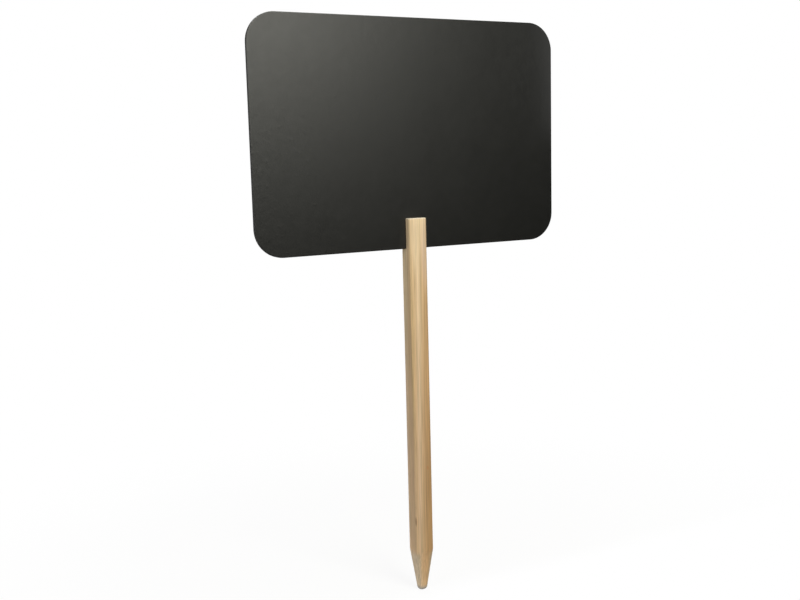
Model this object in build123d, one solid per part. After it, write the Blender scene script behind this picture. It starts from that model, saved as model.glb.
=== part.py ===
from build123d import *
import os

# A plant label: a rounded chalkboard panel pushed into the slotted head of a pointed wooden stake.
# Millimetres, +Z up, +X to the right across the board, the front of the board faces -Y.
# The origin is the middle of the stake's tip, the point that goes into the soil first.

# Board: a stiff laminate panel, a dark core with a chalk writing face on each side
board_width = 300.0
board_height = 200.0
board_thickness = 3.0
board_corner_radius = 25.0
chalk_face_thickness = 0.3
chalk_rim_ease = 0.15

# Stake: a planed wooden bar with softened arrises
stake_width = 18.0
stake_depth = 15.8
stake_length = 347.0
arris_radius = 2.5
head_end_ease = 0.9

# Slot sawn down into the stake's head, between the two tongues that hold the board
slot_depth = 27.0
slot_side_clearance = 0.1

# Four-sided point, blunted and rounded at the tip
point_length = 40.0
tip_width = 9.4
tip_depth = 8.5
tip_roundness = 0.9
nose_roundness = 0.92

# Places that follow from those sizes
slot_width = board_thickness + 2 * slot_side_clearance
slot_floor = stake_length - slot_depth
board_middle = slot_floor + board_height / 2
core_thickness = board_thickness - 2 * chalk_face_thickness
tip_arris_radius = tip_roundness * min(tip_width, tip_depth) / 2
nose_radius = nose_roundness * tip_arris_radius


def bar_section(width, depth, radius, height):
    """The outline across the stake, with rounded arrises, at a height above the tip."""
    return Plane.XY.offset(height) * RectangleRounded(width, depth, radius)


def lowest_edges(solid):
    """The edges round a solid's lowest face."""
    return solid.faces().sort_by(Axis.Z)[0].edges()


def highest_edges(solid):
    """The edges round a solid's highest face."""
    return solid.faces().sort_by(Axis.Z)[-1].edges()


def make_shaft():
    """The straight bar above the point, with the sawn top end lightly sanded."""
    section = bar_section(stake_width, stake_depth, arris_radius, point_length)
    shaft = extrude(section, stake_length - point_length)
    return chamfer(highest_edges(shaft), head_end_ease)


def make_point():
    """Four flat facets that run in from the bar to a small blunt end with a rounded nose."""
    end = bar_section(tip_width, tip_depth, tip_arris_radius, 0)
    shoulder = bar_section(stake_width, stake_depth, arris_radius, point_length)
    point = loft([end, shoulder], ruled=True)
    return fillet(lowest_edges(point), nose_radius)


def make_slot():
    """The space that the saw leaves: right through the stake's width and open at the top."""
    through_width = 2 * stake_width
    cut = Box(through_width, slot_width, 2 * slot_depth, align=(Align.CENTER, Align.CENTER, Align.MIN))
    return Pos(0, 0, slot_floor) * cut


def make_stake():
    """One bar of wood: point, shaft and the forked head."""
    return make_shaft() + make_point() - make_slot()


def make_panel(back_side, thickness):
    """A rounded panel that stands on the slot's floor, grown forward from its back side."""
    upright = Plane(origin=(0, back_side, board_middle), x_dir=(1, 0, 0), z_dir=(0, -1, 0))
    outline = upright * RectangleRounded(board_width, board_height, board_corner_radius)
    return extrude(outline, thickness)


def make_board_core():
    """The dark middle of the laminate, which shows only at the board's edge."""
    return make_panel(core_thickness / 2, core_thickness)


def make_chalk_face(side):
    """One writing face, with its outer rim eased: side -1 is the front, side 1 is the back."""
    middle = side * (core_thickness + chalk_face_thickness) / 2
    face = make_panel(middle + chalk_face_thickness / 2, chalk_face_thickness)
    by_depth = face.faces().sort_by(Axis.Y)
    outer = by_depth[-1] if side > 0 else by_depth[0]
    return chamfer(outer.edges(), min(chalk_rim_ease, chalk_face_thickness / 2))


pieces = {
    "stake": make_stake(),
    "board_core": make_board_core(),
    "front_chalk_face": make_chalk_face(-1),
    "back_chalk_face": make_chalk_face(1),
}

os.makedirs("parts", exist_ok=True)
for name, piece in pieces.items():
    export_step(piece, f"parts/{name}.step")
    print(name, round(piece.volume, 1), "mm3")
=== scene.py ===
# %% [markdown]
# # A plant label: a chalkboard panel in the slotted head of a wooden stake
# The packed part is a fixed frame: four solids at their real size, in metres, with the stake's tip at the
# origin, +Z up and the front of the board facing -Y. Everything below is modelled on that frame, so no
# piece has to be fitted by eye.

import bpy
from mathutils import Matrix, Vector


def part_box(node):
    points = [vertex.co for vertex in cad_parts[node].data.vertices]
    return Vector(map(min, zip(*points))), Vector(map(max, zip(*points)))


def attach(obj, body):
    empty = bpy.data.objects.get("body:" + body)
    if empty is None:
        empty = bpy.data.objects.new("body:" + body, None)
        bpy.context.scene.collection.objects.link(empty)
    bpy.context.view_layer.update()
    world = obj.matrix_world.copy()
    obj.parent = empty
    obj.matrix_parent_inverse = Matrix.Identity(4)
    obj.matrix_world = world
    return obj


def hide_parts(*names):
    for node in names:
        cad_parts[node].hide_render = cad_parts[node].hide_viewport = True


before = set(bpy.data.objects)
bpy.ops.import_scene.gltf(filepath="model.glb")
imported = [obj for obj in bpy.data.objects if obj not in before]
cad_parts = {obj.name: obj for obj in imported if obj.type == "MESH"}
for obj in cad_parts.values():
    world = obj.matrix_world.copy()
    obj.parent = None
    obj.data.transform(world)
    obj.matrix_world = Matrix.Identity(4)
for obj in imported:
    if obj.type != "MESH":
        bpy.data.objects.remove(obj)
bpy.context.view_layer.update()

# %% [markdown]
# ## Sizes
# A box per node gives most sizes: the stake's width, depth and length, the board's width and height, and
# the slot's floor, which the board's lower edge stands on. They could be typed in again, but read from
# the frame they can't drift from the solids. What a box can't tell, such as a corner's radius, is written
# further down, at the step that needs it.

# %% Sizes of the stake and the board
MM = 0.001

stake_low, stake_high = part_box("stake")
core_low, core_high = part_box("board_core")
front_low, front_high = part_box("front_chalk_face")
back_low, back_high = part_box("back_chalk_face")

stake_width = stake_high.x - stake_low.x
stake_depth = stake_high.y - stake_low.y
stake_top = stake_high.z
slot_floor = core_low.z
board_width = core_high.x - core_low.x
board_height = core_high.z - core_low.z


def in_mm(length):
    """A length in millimetres, rounded for printing."""
    return round(length / MM, 2)


print("stake", in_mm(stake_width), "x", in_mm(stake_depth), "mm, top at", in_mm(stake_top), "mm")
print("board", in_mm(board_width), "x", in_mm(board_height), "mm, slot floor at", in_mm(slot_floor), "mm")

# %% [markdown]
# ## The stake's section
# The real stake is one bar of softwood: planed, its arrises softened, one end sawn down the middle to
# make a fork and the other cut to a four-sided point. A cube with a boolean would do it, but a flat
# section of three strips is neater: the outer strips become the two tongues and the middle one the slot's
# floor. Its four corners are bevelled once, as vertices, and every extrusion then carries the rounded
# arrises along. Near the tip the middle strip has to be narrower, so that the larger corners find room
# beside it.

# %% Three strips with rounded corners
import bmesh

slot_side_clearance = 0.1 * MM
slot_half_width = back_high.y + slot_side_clearance
arris_segments = 7
half_grid = 0.5
tiny = 0.001 * MM


def round_off(shape, geometry, radius, segments, affect):
    """Bevels corners (VERTICES) or edges (EDGES) to a round of one radius."""
    bmesh.ops.bevel(
        shape, geom=geometry, offset=radius, offset_type="OFFSET", segments=segments,
        profile=0.5, affect=affect, material=-1,
    )


def corner_points(faces):
    """The vertices of some faces, each once."""
    return list(dict.fromkeys(point for face in faces for point in face.verts))


def add_section(shape, width, depth, radius, height):
    """Three flat strips across the bar, with the outer corners rounded. Gives their faces."""
    points = bmesh.ops.create_grid(shape, x_segments=1, y_segments=3, size=half_grid)["verts"]
    outer = [point for point in points if abs(point.co.y) > half_grid / 2]
    inner = [point for point in points if point not in outer]
    inner_depth = min(2 * slot_half_width * depth / stake_depth, (depth - 2 * radius) / 2)
    bmesh.ops.scale(shape, verts=inner, vec=(width, inner_depth / (2 * abs(inner[0].co.y)), 1))
    bmesh.ops.scale(shape, verts=outer, vec=(width, depth, 1))
    round_off(shape, outer, radius, arris_segments, "VERTICES")
    strips = [face for face in shape.faces if all(abs(point.co.z) < tiny for point in face.verts)]
    bmesh.ops.translate(shape, verts=corner_points(strips), vec=(0, 0, height))
    return strips


print("slot", in_mm(2 * slot_half_width), "mm wide, arrises of", arris_segments, "segments")

# %% [markdown]
# ## Shaft and fork
# The shaft is the section pulled up to the slot's floor, and the fork is its two outer strips pulled on
# to the top, so nothing has to be cut away. The extrusion is given the edges of its faces too, because
# only then does Blender take away the old faces that would stay inside the bar. The sawn end of the real
# stake is lightly sanded, so a small bevel goes round the end of each tongue, but not along the slot.

# %% Raising the shaft and its two tongues
arris_radius = 2.5 * MM
point_length = 40 * MM
head_end_ease = 0.9 * MM
ease_segments = 3


def extrude_faces(shape, faces, shift):
    """Extrudes faces as one region and moves the new end by a vector. Gives the new end's faces."""
    edges = list(dict.fromkeys(edge for face in faces for edge in face.edges))
    grown = bmesh.ops.extrude_face_region(shape, geom=faces + edges)["geom"]
    moved = [part for part in grown if isinstance(part, bmesh.types.BMVert)]
    bmesh.ops.translate(shape, verts=moved, vec=shift)
    return [part for part in grown if isinstance(part, bmesh.types.BMFace)]


def ease_tongue(shape, end):
    """Eases the rim of a tongue's end, apart from its edge on the slot."""
    slot_wall = slot_half_width + tiny
    rim = [edge for edge in end.edges if max(abs(point.co.y) for point in edge.verts) > slot_wall]
    round_off(shape, rim, head_end_ease, ease_segments, "EDGES")


def raise_shaft(shape):
    """The bar above the point, with its two tongues. Gives the faces that the point will join."""
    shoulder = add_section(shape, stake_width, stake_depth, arris_radius, point_length)
    top = extrude_faces(shape, shoulder, (0, 0, slot_floor - point_length))
    tongues = [face for face in top if abs(face.calc_center_median().y) > slot_half_width]
    for tongue in tongues:
        end = extrude_faces(shape, [tongue], (0, 0, stake_top - slot_floor))
        ease_tongue(shape, end[0])
    return shoulder


stake_shape = bmesh.new()
shoulder_faces = raise_shaft(stake_shape)
print("shaft", len(stake_shape.verts), "vertices, tongues", in_mm(stake_top - slot_floor), "mm high")

# %% [markdown]
# ## Point and nose
# The point is four flat facets that run in from the bar to a small blunt end, and use has rounded that
# end to a nose. Scaling the bar's own end would squash its round corners, so the end gets a section of
# its own, with its own corners, and the nose hangs from it in rings that follow a quarter circle. Both
# sections have the same number of vertices, so one bridge between the two open loops makes the facets.

# %% Hanging the nose and bridging the point
import math

tip_width = 9.4 * MM
tip_depth = 8.5 * MM
tip_roundness = 0.9
nose_roundness = 0.92
tip_arris_radius = tip_roundness * min(tip_width, tip_depth) / 2
nose_radius = nose_roundness * tip_arris_radius
nose_rings = 6


def hang_nose(shape):
    """The tip's section, with a nose in rings below it. Gives the section's faces."""
    tip = add_section(shape, tip_width, tip_depth, tip_arris_radius, nose_radius)
    end = tip
    turns = [math.radians(90) * ring / nose_rings for ring in range(nose_rings + 1)]
    for before, after in zip(turns, turns[1:]):
        drop = nose_radius * (math.sin(before) - math.sin(after))
        shrink = 2 * nose_radius * (math.cos(before) - math.cos(after))
        width = tip_width - 2 * nose_radius * (1 - math.cos(before))
        depth = tip_depth - 2 * nose_radius * (1 - math.cos(before))
        end = extrude_faces(shape, end, (0, 0, drop))
        bmesh.ops.scale(shape, verts=corner_points(end), vec=(1 - shrink / width, 1 - shrink / depth, 1))
    return tip


tip_faces = hang_nose(stake_shape)
bmesh.ops.delete(stake_shape, geom=shoulder_faces + tip_faces, context="FACES")
open_edges = [edge for edge in stake_shape.edges if edge.is_boundary]
bmesh.ops.bridge_loops(stake_shape, edges=open_edges)
print("stake", len(stake_shape.verts), "vertices, nose radius", in_mm(nose_radius), "mm")

# %% [markdown]
# ## The stake's surface
# Planed wood is never quite straight. Cutting the long faces into rings gives the mesh somewhere to bend,
# and a slow noise then sinks each point by less than a tenth of a millimetre. It only goes inwards, so
# the stake stays inside its solid. Two extra rings hug the shoulder, so that the smooth shading there
# stays a crisp line.

# %% Rings along the stake, and a slow unevenness
from mathutils import Vector, noise

ring_spacing = 5 * MM
shoulder_hug = 0.5 * MM
unevenness = 0.09 * MM
uneven_length = 45 * MM
uneven_width = 9 * MM


def ring_heights():
    """Evenly spaced heights, and one just below and one just above the shoulder."""
    count = int((stake_top - nose_radius) / ring_spacing)
    even = [nose_radius + ring_spacing * ring for ring in range(1, count)]
    return even + [point_length - shoulder_hug, point_length + shoulder_hug]


def add_ring(shape, height):
    """Cuts every face that crosses a height."""
    everything = shape.verts[:] + shape.edges[:] + shape.faces[:]
    bmesh.ops.bisect_plane(shape, geom=everything, plane_co=(0, 0, height), plane_no=(0, 0, 1), dist=tiny)


def sink_points(shape):
    """Sinks each point along its normal, by a noise that runs from -1 to 1 and is mapped to 0 to 1."""
    shape.normal_update()
    for point in shape.verts:
        spot = Vector((point.co.x / uneven_width, point.co.y / uneven_width, point.co.z / uneven_length))
        depth = 0.5 + 0.5 * noise.noise(spot)
        point.co -= point.normal * depth * unevenness


heights = ring_heights()
for height in heights:
    add_ring(stake_shape, height)
bmesh.ops.recalc_face_normals(stake_shape, faces=stake_shape.faces)
sink_points(stake_shape)
print("stake", len(stake_shape.verts), "vertices after", len(heights), "rings")

# %% [markdown]
# ## Shader maths as plain Python
# A procedural finish is mostly arithmetic on fields: distances, noise and masks. Linking Math nodes by
# hand hides that, so one small class wraps a socket and lets Python's operators add the nodes. The
# reflected forms let a plain number stand first, as in 1 - mask.

# %% A socket that does arithmetic
class Field:
    """One socket of a node tree. Operators on it add Math nodes."""

    def __init__(self, bench, socket):
        self.bench = bench
        self.socket = socket

    def math(self, operation, *others):
        """A Math node whose first value is this field."""
        return self.bench.math(operation, self, *others)

    def __add__(self, other):
        return self.bench.math("ADD", self, other)

    def __sub__(self, other):
        return self.bench.math("SUBTRACT", self, other)

    def __rsub__(self, other):
        return self.bench.math("SUBTRACT", other, self)

    def __mul__(self, other):
        return self.bench.math("MULTIPLY", self, other)

    def __truediv__(self, other):
        return self.bench.math("DIVIDE", self, other)

    def __pow__(self, other):
        return self.bench.math("POWER", self, other)

    __radd__ = __add__
    __rmul__ = __mul__


print("a field takes + - * / and **")

# %% [markdown]
# ## A bench for nodes
# Every other node comes from one method, which sets the node's own settings first and then its sockets.
# Short methods on top of it name what a maker would ask for: a place on the part, a noise of a size, a
# soft step, a blend of two colours. Each finish then ends in one Principled shader with a bump.

# %% Making nodes and finishes
import bpy


class Bench:
    """Makes the nodes of one material or world."""

    def __init__(self, tree):
        self.tree = tree
        self.tree.nodes.clear()

    def node(self, kind, settings=None, sockets=None, output=0):
        """Adds a node. Gives the field of one output, or a field each for a tuple of outputs."""
        made = self.tree.nodes.new(kind)
        for name, value in (settings or {}).items():
            setattr(made, name, value)
        for key, value in (sockets or {}).items():
            if isinstance(value, Field):
                self.tree.links.new(value.socket, made.inputs[key])
            else:
                made.inputs[key].default_value = value
        if isinstance(output, tuple):
            return tuple(Field(self, made.outputs[key]) for key in output)
        return Field(self, made.outputs[output]) if made.outputs else None

    def math(self, operation, *values):
        """A Math node on fields and plain numbers."""
        return self.node("ShaderNodeMath", {"operation": operation}, dict(enumerate(values)))

    def vector_math(self, operation, *values, output=0):
        """A Vector Math node on vector fields and plain vectors."""
        return self.node("ShaderNodeVectorMath", {"operation": operation}, dict(enumerate(values)), output)

    def blend(self, amount, first, second):
        """Mixes two colours by a field from 0 to 1."""
        settings = {"data_type": "RGBA", "clamp_factor": True}
        return self.node("ShaderNodeMix", settings, {0: amount, 6: first, 7: second}, output=2)

    def tint(self, colour, amount):
        """Multiplies a colour by a field, the same in red, green and blue."""
        return self.node("ShaderNodeVectorMath", {"operation": "SCALE"}, {0: colour, "Scale": amount})

    def place(self):
        """The point's place in the part's own frame, in metres."""
        return self.node("ShaderNodeTexCoord", output="Object")

    def split(self, vector):
        """The three numbers of a vector."""
        return self.node("ShaderNodeSeparateXYZ", sockets={0: vector}, output=(0, 1, 2))

    def noise(self, vector, size, detail=2.0, roughness=0.5):
        """Smooth noise from about 0 to 1, whose lumps are about one size across, in metres."""
        sockets = {"Vector": vector, "Scale": 1 / size, "Detail": detail, "Roughness": roughness}
        return self.node("ShaderNodeTexNoise", sockets=sockets)

    def step(self, value, low, high):
        """A smooth step from 0 at low to 1 at high."""
        settings = {"interpolation_type": "SMOOTHSTEP"}
        sockets = {"Value": value, "From Min": low, "From Max": high, "To Min": 0.0, "To Max": 1.0}
        return self.node("ShaderNodeMapRange", settings, sockets)

    def surface(self, shader):
        """Links a shader to the material's output."""
        self.node("ShaderNodeOutputMaterial", sockets={"Surface": shader})

    def skin(self, colour, roughness, gloss, height, strength, depth):
        """Ends the material in a Principled shader with a bump: a height, a strength and a depth."""
        relief = {"Strength": strength, "Distance": depth, "Height": height}
        bump = self.node("ShaderNodeBump", sockets=relief)
        shader = self.node("ShaderNodeBsdfPrincipled", sockets={
            "Base Color": colour, "Roughness": roughness, "Normal": bump, "Specular IOR Level": gloss,
        })
        self.surface(shader)


def rgb(red, green, blue):
    """A linear colour with full alpha."""
    return (red, green, blue, 1.0)


def new_finish(name):
    """A new material and the bench for its nodes."""
    material = bpy.data.materials.new(name)
    material.use_nodes = True
    return material, Bench(material.node_tree)


print("a bench can make", ", ".join(name for name in vars(Bench) if not name.startswith("_")))

# %% [markdown]
# ## The wood's rings
# Softwood is a solid with a pattern in it, so its finish is a solid texture on the part's own
# coordinates: the sawn head then shows rings on its end and lines on its sides, with no unwrapping.
# Everything hangs on one field, the distance from a pith that runs in front and to the right of the bar
# at a slight lean. Each year darkens slowly outwards and then sharply, as late wood does, and breaks off
# where the next year starts. Some years are darker than others.

# %% The distance from the pith, and the rings on it
pith_x = 62 * MM
pith_y = -38 * MM
grain_lean = 0.0125
wobble_size = 7 * MM
wobble_draw = 0.06
wobble_depth = 0.7 * MM

ring_width = 3.6 * MM
ring_start = 3.36 * MM
slow_dark = 0.45
slow_curve = 1.5
sharp_dark = 0.55
sharp_curve = 16.0
drop_speed = 25.0
faintest_year = 0.55


def pith_distance(bench, place):
    """How far a point is from the pith, a little wavy along the grain."""
    x, y, z = bench.split(place)
    drawn_out = bench.vector_math("MULTIPLY", place, (1, 1, wobble_draw))
    wobble = (bench.noise(drawn_out, wobble_size, detail=1.0) - 0.5) * wobble_depth
    from_pith_x = x - (pith_x + z * grain_lean)
    from_pith_y = y - pith_y
    return (from_pith_x * from_pith_x + from_pith_y * from_pith_y).math("SQRT") + wobble


def late_wood_lines(bench, distance):
    """How dark the late wood is, from 0 to 1, stronger in some years than in others."""
    count = (distance + ring_start) / ring_width
    share = count.math("FRACT")
    year = bench.node("ShaderNodeTexWhiteNoise", {"noise_dimensions": "1D"}, {"W": count.math("FLOOR")})
    rise = slow_dark * share ** slow_curve + sharp_dark * share ** sharp_curve
    late = rise.math("MINIMUM", (1 - share) * drop_speed)
    return late * (faintest_year + (1 - faintest_year) * year)


print("pith at", in_mm(pith_x), in_mm(pith_y), "mm, years", in_mm(ring_width), "mm wide")

# %% [markdown]
# ## The wood's fibres
# Fibres are noise drawn out along the bar, at several sizes: hair-fine ones, streaks about a millimetre
# wide, and broad ones for the pinkish patches. The peaks of a middling one are the resin canals, the
# short dark dashes of planed pine and spruce. A picture of wood would show all this too, but noise on the
# part's own coordinates has no seams and no edge.

# %% Fibres and resin canals
fibre_detail = 3.0
fibre_roughness = 0.6
canal_size = 0.8 * MM
canal_draw = 0.03
canal_peaks = (0.60, 0.74)


def fibres(bench, place, size, draw):
    """Streaks of a width along the grain, about 0 to 1. The smaller the draw, the longer they are."""
    x, y, z = bench.split(place)
    leaned = bench.node("ShaderNodeCombineXYZ", sockets={0: x - z * grain_lean, 1: y, 2: z * draw})
    return bench.noise(leaned, size, detail=fibre_detail, roughness=fibre_roughness)


def resin_canals(bench, place):
    """Short dark dashes along the grain, 0 to 1."""
    return bench.step(fibres(bench, place, canal_size, canal_draw), *canal_peaks)


print("resin canals", in_mm(canal_size), "mm wide and about", in_mm(canal_size / canal_draw), "mm long")

# %% [markdown]
# ## The wood's colours
# Near the pith the wood is browner, and that heartwood widens towards the tip. Outside it the sapwood is
# straw coloured, pinkish in patches and low down, with a band of pale years and one of brown years, and
# the head is the palest part. One flat brown would look like plastic, so each of these is a mask that
# blends in a colour.

# %% From sapwood to heartwood
sap_wood = rgb(0.71, 0.553, 0.342)
pink_wood = rgb(0.76, 0.54, 0.36)
patch_size = 5 * MM
patch_draw = 0.05
patch_range = (0.42, 0.66)
pink_share = 0.5
pink_fade = (120 * MM, 320 * MM)

heart_wood = rgb(0.51, 0.305, 0.14)
heart_at_tip = 72.8 * MM
heart_taper = 0.0074
heart_softness = 9 * MM
pale_head_from = 295 * MM
head_heart_loss = 0.8

pale_wood = rgb(0.82, 0.63, 0.43)
pale_years = (71.3 * MM, 75.3 * MM)
pale_fade = (-40 * MM, 130 * MM)
brown_wood = rgb(0.60, 0.385, 0.195)
brown_years = (75.6 * MM, 83.0 * MM)
year_softness = 1.2 * MM
year_share = 0.5
head_year_loss = 0.30

late_wood = rgb(0.43, 0.25, 0.10)
late_share = 0.26
heart_late_share = 0.30


def year_band(bench, distance, inner, outer):
    """1 between two distances from the pith, with soft ends."""
    after = bench.step(distance, inner - year_softness, inner + year_softness)
    beyond = bench.step(distance, outer - year_softness, outer + year_softness)
    return after * (1 - beyond)


def sapwood_colour(bench, place, z):
    """Straw colour, pinkish in patches and towards the tip."""
    patches = bench.step(fibres(bench, place, patch_size, patch_draw), *patch_range)
    low = 1 - bench.step(z, *pink_fade)
    return bench.blend(patches * pink_share + low * pink_share, sap_wood, pink_wood)


def grain_colour(bench, place, distance, rings):
    """Sapwood to heartwood, with pale and brown years and the lines of late wood."""
    _, _, z = bench.split(place)
    edge = heart_at_tip - z * heart_taper
    inside = 1 - bench.step(distance - edge, -heart_softness, heart_softness)
    head = bench.step(z, pale_head_from, stake_top)
    heart = inside * (1 - head_heart_loss * head)
    strength = year_share - head_year_loss * head
    pale = year_band(bench, distance, *pale_years) * (1 - heart) * bench.step(z, *pale_fade)
    brown = year_band(bench, distance, *brown_years)
    colour = bench.blend(heart, sapwood_colour(bench, place, z), heart_wood)
    colour = bench.blend(pale * strength, colour, pale_wood)
    colour = bench.blend(brown * strength, colour, brown_wood)
    return bench.blend(rings * (late_share + heart_late_share * heart), colour, late_wood)


print("heartwood ends", in_mm(heart_at_tip), "mm from the pith at the tip, the head pales from",
      in_mm(pale_head_from), "mm")

# %% [markdown]
# ## Marks in the wood, and painted shade and light
# The stake has a pale patch and a pink blush on its head, one small knot and a streak of resin. Along two
# arrises it has painted shade, dark brown where their rounds turn from the lamps, on the left one partly a
# browner streak in the wood too. On the front of its point a warm, lighter patch is partly painted light,
# where that facet faces down and gets less lamp light, and partly sawn wood being paler. Noise would
# scatter such marks all over, and a real stake has just a few, so each is a soft spot, shaped like an egg
# and placed one by one.

# %% Soft spots
blush_wood = rgb(0.72, 0.535, 0.41)
knot_wood = rgb(0.55, 0.25, 0.10)
resin_brown = rgb(0.20, 0.11, 0.05)
sawn_pale_and_painted_light = rgb(0.70, 0.44, 0.23)
painted_arris_shade = rgb(0.46, 0.31, 0.13)
head_wood = rgb(0.87, 0.69, 0.46)
spot_core = 0.25
spots = {
    "blush": {"middle": (8.0, -7.9, 318), "radii": (7.5, 9, 52), "share": 0.7, "colour": blush_wood},
    "knot": {"middle": (4.2, -7.7, 118.5), "radii": (1.6, 2.5, 3.0), "share": 0.6, "colour": knot_wood},
    "resin": {"middle": (-8.6, -6.6, 69), "radii": (0.9, 1.4, 6.5), "share": 0.7, "colour": resin_brown},
    # partly painted light: a lighter patch on the point's front facet, which faces down and gets less lamp
    # light; sawn wood is a little paler there too
    "warm": {"middle": (-0.4, -6.8, 27), "radii": (4.6, 4.5, 19), "share": 0.65, "colour": sawn_pale_and_painted_light},
    # painted shade: dark brown on the front-left arris, where its round turns from the lamps, partly a
    # browner streak
    "arris": {"middle": (-8.3, -7.2, 220), "radii": (3.2, 3.2, 130), "share": 0.45, "colour": painted_arris_shade},
    # painted shade: the same brown on the front-right arris of the head, which faces away from the lamps
    "edge": {"middle": (7.6, -7.7, 312), "radii": (3.2, 3.2, 70), "share": 0.4, "colour": painted_arris_shade},
    "pale": {"middle": (-4.0, -7.9, 327), "radii": (4.5, 4.0, 42), "share": 0.4, "colour": head_wood},
}


def soft_spot(bench, place, middle, radii):
    """A soft-edged egg-shaped mark: 1 in its middle and 0 outside. Both sizes are in millimetres."""
    offset = bench.vector_math("SUBTRACT", place, tuple(length * MM for length in middle))
    scaled = bench.vector_math("DIVIDE", offset, tuple(length * MM for length in radii))
    reach = bench.vector_math("LENGTH", scaled, output="Value")
    return 1 - bench.step(reach, spot_core, 1.0)


def spotted_colour(bench, place, colour):
    """Blends each spot into the wood's colour."""
    for spot in spots.values():
        mask = soft_spot(bench, place, spot["middle"], spot["radii"])
        colour = bench.blend(mask * spot["share"], colour, spot["colour"])
    return colour


for spot_name, spot in spots.items():
    print(spot_name, "at", spot["middle"], "mm")

# %% [markdown]
# ## Marks of the saw, a painted highlight and a grey nose
# The end of the head is painted paler than the rest: a painted highlight where its eased edge catches the
# light from above. The facets of the point are sawn and not planed, which shows as grey on its two side
# facets, paler on the flat of the left one, and hardly at all on its front, and the nose goes dark grey
# towards the tip. All of these follow the height above the tip, and the side facets also how far out a
# point is at its height.

# %% Painted highlight on the end, sawn facets and grey nose
end_highlight = rgb(0.80, 0.71, 0.58)
end_highlight_fade = (stake_top - 1.1 * MM, stake_top - 0.3 * MM)
end_highlight_share = 0.8

sawn_grey = rgb(0.53, 0.43, 0.31)
pale_grey = rgb(0.70, 0.565, 0.41)
sawn_fade = (point_length - 7 * MM, point_length + 1 * MM)
left_facet = (0.45, 0.85)
right_facet = (0.35, 0.85)
left_flat = (0.85, 0.99)
front_grey = 0.05
side_grey = 0.80

nose_grey = rgb(0.30, 0.28, 0.255)
nose_fade = (1.0 * MM, 6.5 * MM)
nose_share = 0.95


def worn_colour(bench, place, colour, sawn):
    """Adds the painted highlight on the end, the grey facets and the nose."""
    x, _, z = bench.split(place)
    # painted highlight: the top of the head's end is blended pale, for light caught on its eased edge
    end = bench.step(z, *end_highlight_fade)
    colour = bench.blend(end * end_highlight_share, colour, end_highlight)
    half_width = tip_width / 2 + z * ((stake_width - tip_width) / 2 / point_length)
    across = x / half_width
    left_side = bench.step(0 - across, *left_facet)
    right_side = bench.step(across, *right_facet)
    grey = front_grey + side_grey * left_side + side_grey * right_side
    facets = bench.blend(bench.step(0 - across, *left_flat), sawn_grey, pale_grey)
    colour = bench.blend(sawn * grey, colour, facets)
    # the nose goes dark grey over its last few millimetres towards the tip
    nose = 1 - bench.step(z, *nose_fade)
    return bench.blend(nose * nose_share, colour, nose_grey)


print("sawn facets up to", in_mm(sawn_fade[1]), "mm, grey nose up to", in_mm(nose_fade[1]), "mm")

# %% [markdown]
# ## The stake's finish
# Now the fields come together. The grain gives the colour, and the fibres lighten and darken it, as
# planed wood catches the light. The same fields drive the rest: fibres and late wood stand a little proud
# in the bump, resin canals lie deeper, and the sawn facets carry fine saw marks and are rougher.
# Unvarnished wood has no coat, so its gloss is low.

# %% Planed softwood
fine_size = 0.45 * MM
fine_draw = 0.015
streak_size = 1.2 * MM
streak_draw = 0.02
saw_pitch = 0.8 * MM
saw_waver = 6.0

plain_tint = 0.27
fine_tint = 0.52
streak_tint = 0.95
canal_tint = 0.16
saw_tint = 0.03

fine_height = 0.6
ring_rise = 0.4
canal_sink = 0.3
saw_height = 0.12
wood_bump = 0.3
wood_bump_depth = 0.12 * MM

wood_roughness = 0.68
fine_roughness = 0.10
ring_smoothness = 0.08
sawn_roughness = 0.08
wood_gloss = 0.35


def planed_softwood():
    """Straw-coloured softwood, planed but not varnished, with sawn facets on its point."""
    material, bench = new_finish("planed_softwood")
    place = bench.place()
    _, _, z = bench.split(place)
    distance = pith_distance(bench, place)
    rings = late_wood_lines(bench, distance)
    fine = fibres(bench, place, fine_size, fine_draw)
    streaks = fibres(bench, place, streak_size, streak_draw)
    canals = resin_canals(bench, place)
    sawn = 1 - bench.step(z, *sawn_fade)
    saw = (z * (2 * math.pi / saw_pitch) + saw_waver * fine).math("SINE") * sawn
    colour = grain_colour(bench, place, distance, rings)
    colour = spotted_colour(bench, place, colour)
    colour = worn_colour(bench, place, colour, sawn)
    light = plain_tint + fine_tint * fine + streak_tint * streaks - canal_tint * canals + saw_tint * saw
    height = fine * fine_height + rings * ring_rise - canals * canal_sink + saw * saw_height
    roughness = wood_roughness + fine_roughness * fine - ring_smoothness * rings + sawn_roughness * sawn
    bench.skin(bench.tint(colour, light), roughness, wood_gloss, height, wood_bump, wood_bump_depth)
    return material


softwood = planed_softwood()
print(softwood.name, "has", len(softwood.node_tree.nodes), "nodes")

# %% [markdown]
# ## Turning a shape into a piece
# Each piece is one mesh object at the origin, with its place in its vertices. It is shaded smooth, with
# hard edges only where two faces meet at a clear angle. Then it gets its finish, is hung on the body that
# carries it, and the solid it stands for is hidden. The stake is the first.

# %% The stake as a piece
crease_angle = math.radians(38)


def add_piece(name, shape, finish, body, node):
    """Makes a finished piece of a bmesh and ties it to the frame."""
    bmesh.ops.recalc_face_normals(shape, faces=shape.faces)
    mesh = bpy.data.meshes.new(name)
    shape.to_mesh(mesh)
    shape.free()
    mesh.polygons.foreach_set("use_smooth", [True] * len(mesh.polygons))
    mesh.set_sharp_from_angle(angle=crease_angle)
    mesh.materials.append(finish)
    piece = bpy.data.objects.new(name, mesh)
    bpy.context.scene.collection.objects.link(piece)
    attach(piece, body)
    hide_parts(node)
    print(name, len(mesh.vertices), "vertices", len(mesh.polygons), "faces")


add_piece("wooden_stake", stake_shape, softwood, "stake", "stake")

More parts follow.
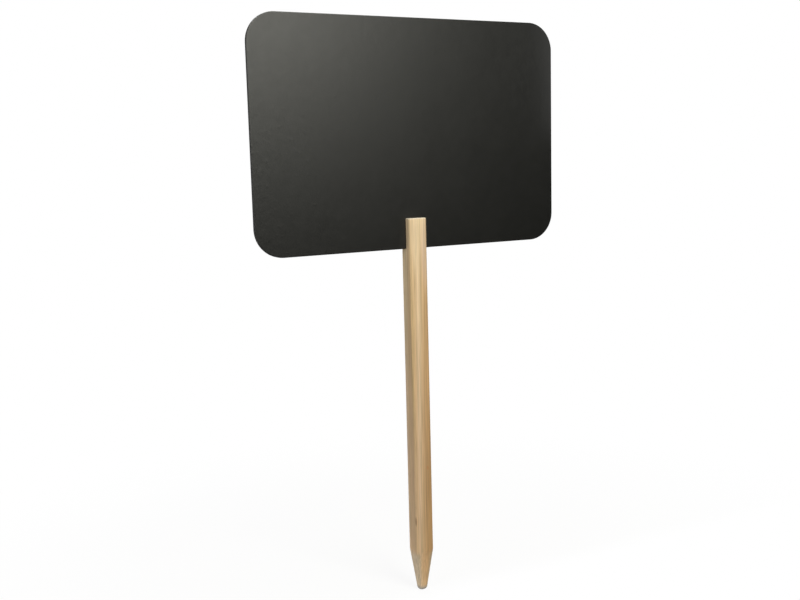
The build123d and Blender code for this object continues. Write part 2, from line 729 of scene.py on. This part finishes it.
# %% [markdown]
# ## The board's shape
# The board is a stiff laminate: a dark core with a thin writing face pressed on each side. All three
# share one outline, a rectangle with generous round corners, so one function cuts them: a flat face, four
# corners bevelled as vertices, and an extrusion through the thickness. A narrow inset ring keeps the
# large flat face truly flat in shading, and the writing faces have their outer rim eased, as a router
# leaves it.

# %% Cutting a panel
from mathutils import Matrix

board_corner_radius = 25 * MM
corner_segments = 24
rim_ease = 0.15 * MM
rim_guard = 0.6 * MM
front_side = -1
back_side = 1
no_side = 0


def lay_outline(shape):
    """The board's outline, as one upright face in the middle of the slot."""
    bmesh.ops.create_grid(shape, x_segments=1, y_segments=1, size=half_grid)
    bmesh.ops.scale(shape, verts=shape.verts, vec=(board_width, board_height, 1))
    round_off(shape, shape.verts[:], board_corner_radius, corner_segments, "VERTICES")
    upright = Matrix.Rotation(math.radians(90), 4, "X")
    bmesh.ops.transform(shape, matrix=upright, verts=shape.verts)
    bmesh.ops.translate(shape, verts=shape.verts, vec=(0, 0, slot_floor + board_height / 2))


def broad_faces(shape):
    """The front and the back of a panel: every other face has four corners."""
    return [face for face in shape.faces if len(face.verts) > 4]


def cut_panel(back, front, eased_side):
    """A rounded panel from one depth to another, with the rim of one side eased, or of none."""
    shape = bmesh.new()
    lay_outline(shape)
    bmesh.ops.translate(shape, verts=shape.verts, vec=(0, back, 0))
    extrude_faces(shape, shape.faces[:], (0, front - back, 0))
    if eased_side != no_side:
        outer = max(broad_faces(shape), key=lambda face: eased_side * face.calc_center_median().y)
        round_off(shape, outer.edges[:], rim_ease, ease_segments, "EDGES")
    bmesh.ops.inset_individual(shape, faces=broad_faces(shape), thickness=rim_guard, use_even_offset=True)
    return shape


print("panels with corners of", in_mm(board_corner_radius), "mm and a rim eased by", in_mm(rim_ease), "mm")

# %% [markdown]
# ## The core's edge
# Only the sawn edge of the core shows, a dark line round the board. Laminate is many sheets pressed
# together, so its edge has faint plies along it. Modelling them would take hundreds of thin faces for
# something hardly seen, so a wave across the thickness draws them, with a little noise for the saw's
# marks.

# %% Core finish and piece
dark_edge = rgb(0.006, 0.006, 0.0055)
grey_edge = rgb(0.014, 0.013, 0.012)
ply_thickness = 0.22 * MM
ply_share = 0.5
edge_saw_size = 0.8 * MM
edge_saw_detail = 3.0
edge_saw_share = 0.4
edge_roughness = 0.68
edge_saw_roughness = 0.15
edge_gloss = 0.2
edge_bump = 0.3
edge_bump_depth = 0.05 * MM


def laminate_edge():
    """The sawn edge of a dark laminate."""
    material, bench = new_finish("laminate_edge")
    place = bench.place()
    _, depth, _ = bench.split(place)
    plies = ((depth * (2 * math.pi / ply_thickness)).math("SINE") + 1) * 0.5
    saw = bench.noise(place, edge_saw_size, detail=edge_saw_detail)
    colour = bench.blend(plies * ply_share + saw * edge_saw_share, dark_edge, grey_edge)
    roughness = edge_roughness + edge_saw_roughness * saw
    bench.skin(colour, roughness, edge_gloss, saw, edge_bump, edge_bump_depth)
    return material


core_shape = cut_panel(core_high.y, core_low.y, no_side)
add_piece("panel_core", core_shape, laminate_edge(), "board", "board_core")

# %% [markdown]
# ## The writing faces
# A chalkboard face is black with a fine tooth that scrapes the chalk, and its satin sheen is what the eye
# reads first: it goes from grey to nearly black across the board as the lamp's reflection fades. That
# could be painted as a gradient, but it would be wrong from every other side. So the colour stays very
# dark, the roughness does the work, and a bump gives the tooth, the slightly uneven coat and a few
# flecks. Slow noise in colour and roughness keeps the face from looking like one flat fill.

# %% Chalk finish and the two faces
chalk_black = rgb(0.0028, 0.0028, 0.0024)
chalk_grey = rgb(0.0060, 0.0060, 0.0052)
tooth_size = 0.35 * MM
coat_size = 7 * MM
cloud_size = 30 * MM
fleck_size = 5 * MM
fleck_peaks = (0.61, 0.81)

cloud_share = 0.4
tooth_share = 0.3
coat_share = 0.3
chalk_roughness = 0.387
tooth_roughness = 0.05
coat_roughness = 0.07
cloud_roughness = 0.04
chalk_gloss = 0.476

tooth_height = 0.07
coat_height = 0.55
fleck_height = 0.20
chalk_bump = 0.4
chalk_bump_depth = 0.3 * MM


def satin_chalk_black():
    """A satin black coat with a fine tooth, slightly uneven as rolled paint is."""
    material, bench = new_finish("satin_chalk_black")
    place = bench.place()
    tooth = bench.noise(place, tooth_size, detail=2.0, roughness=0.6)
    coat = bench.noise(place, coat_size, detail=4.0, roughness=0.5)
    clouds = bench.noise(place, cloud_size, detail=3.0, roughness=0.55)
    flecks = bench.step(bench.noise(place, fleck_size, detail=1.0), *fleck_peaks)
    greyness = clouds * cloud_share + tooth * tooth_share + coat * coat_share
    roughness = chalk_roughness + tooth_roughness * (tooth - 0.5)
    roughness = roughness + coat_roughness * (coat - 0.5) + cloud_roughness * (clouds - 0.5)
    height = tooth * tooth_height + coat * coat_height + flecks * fleck_height
    colour = bench.blend(greyness, chalk_black, chalk_grey)
    bench.skin(colour, roughness, chalk_gloss, height, chalk_bump, chalk_bump_depth)
    return material


chalk = satin_chalk_black()
front_shape = cut_panel(front_high.y, front_low.y, front_side)
add_piece("front_writing_face", front_shape, chalk, "board", "front_chalk_face")
back_shape = cut_panel(back_high.y, back_low.y, back_side)
add_piece("back_writing_face", back_shape, chalk, "board", "back_chalk_face")

# %% [markdown]
# ## Light
# One tall soft box, in front of the board, a little to the right and above, does most of the work: its
# blurred reflection is the sheen on the board, and its distance makes the stake darker towards the tip. A
# weaker lamp in front and to the left lights the stake's left face, a faint one fills the right side, and
# one behind keeps the back from being lost. A slim oval close to the board's top right corner makes the
# narrow glow along that edge: from farther off, a satin face would blur it over half the board. A ring of
# equal lamps would be simpler, but it would leave the board flat. The lamps are hidden from the camera.

# %% Lamps
def soft_box(name, place, aim, size, power, colour, shape="RECTANGLE"):
    """An area lamp of a width and a height, oblong or oval, that looks at a point."""
    lamp = bpy.data.lights.new(name, "AREA")
    lamp.shape = shape
    lamp.size, lamp.size_y = size
    lamp.energy = power
    lamp.color = colour
    box = bpy.data.objects.new(name, lamp)
    box.location = place
    box.rotation_euler = (Vector(aim) - Vector(place)).to_track_quat("-Z", "Y").to_euler()
    box.visible_camera = False
    bpy.context.scene.collection.objects.link(box)
    print(name, "at", place, "power", power)


warm = (1.0, 0.995, 0.90)
neutral = (1.0, 1.0, 1.0)
upper_stake = (0, 0, 0.33)
middle_stake = (0, 0, 0.25)
soft_box(
    "key_box", place=(0.138, -0.920, 0.975), aim=upper_stake,
    size=(0.52, 1.05), power=14.9, colour=warm,
)
soft_box(
    "left_box", place=(-1.02, -0.42, 0.50), aim=middle_stake,
    size=(0.6, 0.6), power=4.45, colour=neutral,
)
soft_box(
    "right_box", place=(1.45, -0.25, 0.6), aim=upper_stake,
    size=(0.6, 0.6), power=1.2, colour=neutral,
)
soft_box(
    "back_box", place=(0.16, 1.0, 0.9), aim=upper_stake,
    size=(0.5, 0.7), power=7.0, colour=neutral,
)
soft_box(
    "edge_card", place=(0.174, -0.032, 0.516), aim=(0.147, 0, 0.516),
    size=(0.016, 0.21), power=0.0077, colour=neutral, shape="ELLIPSE",
)

# %% [markdown]
# ## Floor
# The label stands on a sheet of white paper. A plain diffuse sheet would turn grey where the lamps are
# weak, so what the camera, mirrors and glass see of it is mostly its own white. A small share of the real
# light is left in round the tip, and so the soft shadow stays and stays faint.

# %% Paper floor
pure_white = rgb(1, 1, 1)
paper_white = rgb(0.9, 0.9, 0.9)
floor_front = -0.03
floor_back = 1.8
floor_half_width = 1.2
shadow_share = 0.10
shadow_reach = 0.6
shadow_fade = (floor_front, 0.01)


def seen_rays(bench):
    """Three fields: 1 for a ray from the camera, off a mirror and through glass."""
    kinds = ("Is Camera Ray", "Is Glossy Ray", "Is Transmission Ray")
    return bench.node("ShaderNodeLightPath", output=kinds)


def white_paper():
    """White paper that keeps a faint shadow."""
    material, bench = new_finish("white_paper")
    camera, glossy, glass = seen_rays(bench)
    seen = camera.math("MAXIMUM", glossy).math("MAXIMUM", glass)
    place = bench.place()
    away = bench.vector_math("LENGTH", place, output="Value")
    _, back, _ = bench.split(place)
    near = (1 - bench.step(away, 0.0, shadow_reach)) * bench.step(back, *shadow_fade)
    lit = bench.node("ShaderNodeBsdfDiffuse", sockets={"Color": paper_white})
    white = bench.node("ShaderNodeEmission", sockets={"Color": pure_white, "Strength": 1.0})
    whiteness = seen * (1 - near * shadow_share)
    bench.surface(bench.node("ShaderNodeMixShader", sockets={0: whiteness, 1: lit, 2: white}))
    return material


def lay_floor():
    """The sheet of paper, at the height of the stake's tip."""
    shape = bmesh.new()
    bmesh.ops.create_grid(shape, x_segments=1, y_segments=1, size=half_grid)
    bmesh.ops.scale(shape, verts=shape.verts, vec=(2 * floor_half_width, floor_back - floor_front, 1))
    bmesh.ops.translate(shape, verts=shape.verts, vec=(0, (floor_front + floor_back) / 2, stake_low.z))
    mesh = bpy.data.meshes.new("paper_floor")
    shape.to_mesh(mesh)
    shape.free()
    mesh.materials.append(white_paper())
    floor = bpy.data.objects.new("paper_floor", mesh)
    bpy.context.scene.collection.objects.link(floor)


lay_floor()
print("paper", 2 * floor_half_width, "m wide and", round(floor_back - floor_front, 2), "m deep")

# %% [markdown]
# ## Backdrop
# The world is white to the camera and dim as a light, so it doesn't wash the lamps out. In mirror
# directions it is white behind the part and dim on the camera's side of the room, because a satin black
# board shows whatever stands in front of it: in a room that is white all round it would turn a flat grey.

# %% White room
room_light = 0.03
behind_part = (-0.1, 0.3)


def paint_world():
    """White to the camera, white behind the part in reflections, and dim as a light."""
    world = bpy.data.worlds.new("white_room")
    world.use_nodes = True
    bench = Bench(world.node_tree)
    _, towards_back, _ = bench.split(bench.node("ShaderNodeTexCoord", output="Generated"))
    camera, glossy, glass = seen_rays(bench)
    behind = bench.step(towards_back, *behind_part)
    white = camera.math("MAXIMUM", glass).math("MAXIMUM", glossy * behind)
    strength = white * (1 - room_light) + room_light
    sky = bench.node("ShaderNodeBackground", sockets={"Color": pure_white, "Strength": strength})
    bench.node("ShaderNodeOutputWorld", sockets={"Surface": sky})
    bpy.context.scene.world = world


paint_world()
bpy.context.scene.view_settings.view_transform = "Standard"
print("room light", room_light, "with the", bpy.context.scene.view_settings.view_transform, "view")

# %% [markdown]
# ## Camera
# The camera stands to the left of the board, about 0.9 m away and a little below its middle, looks down a
# few degrees and is tipped slightly. The numbers come from matching the board's outline and the stake's
# edges, with the focal length in pixels of an 800 pixel wide image. A camera turned by a constraint would
# be easier to aim, but it could not be tipped, so the three turns are multiplied here.

# %% Camera
image_width = 800
focal_pixels = 1018.9
sensor_width = 36.0
eye = Vector((-0.43835, -0.79391, 0.40299))
look_right = math.radians(28.019)
look_down = math.radians(8.127)
tip_right = math.radians(1.474)


def set_camera():
    """A camera with no shift and no blur, at the photograph's angle."""
    lens = bpy.data.cameras.new("view_camera")
    lens.sensor_width = sensor_width
    lens.lens = focal_pixels / image_width * sensor_width
    camera = bpy.data.objects.new("view_camera", lens)
    turn = Matrix.Rotation(-look_right, 4, "Z")
    pitch = Matrix.Rotation(math.radians(90) - look_down, 4, "X")
    roll = Matrix.Rotation(-tip_right, 4, "Z")
    camera.matrix_world = Matrix.Translation(eye) @ turn @ pitch @ roll
    bpy.context.scene.collection.objects.link(camera)
    bpy.context.scene.camera = camera
    print("lens", round(lens.lens, 2), "mm")


set_camera()

# %% [markdown]
# ## Closing
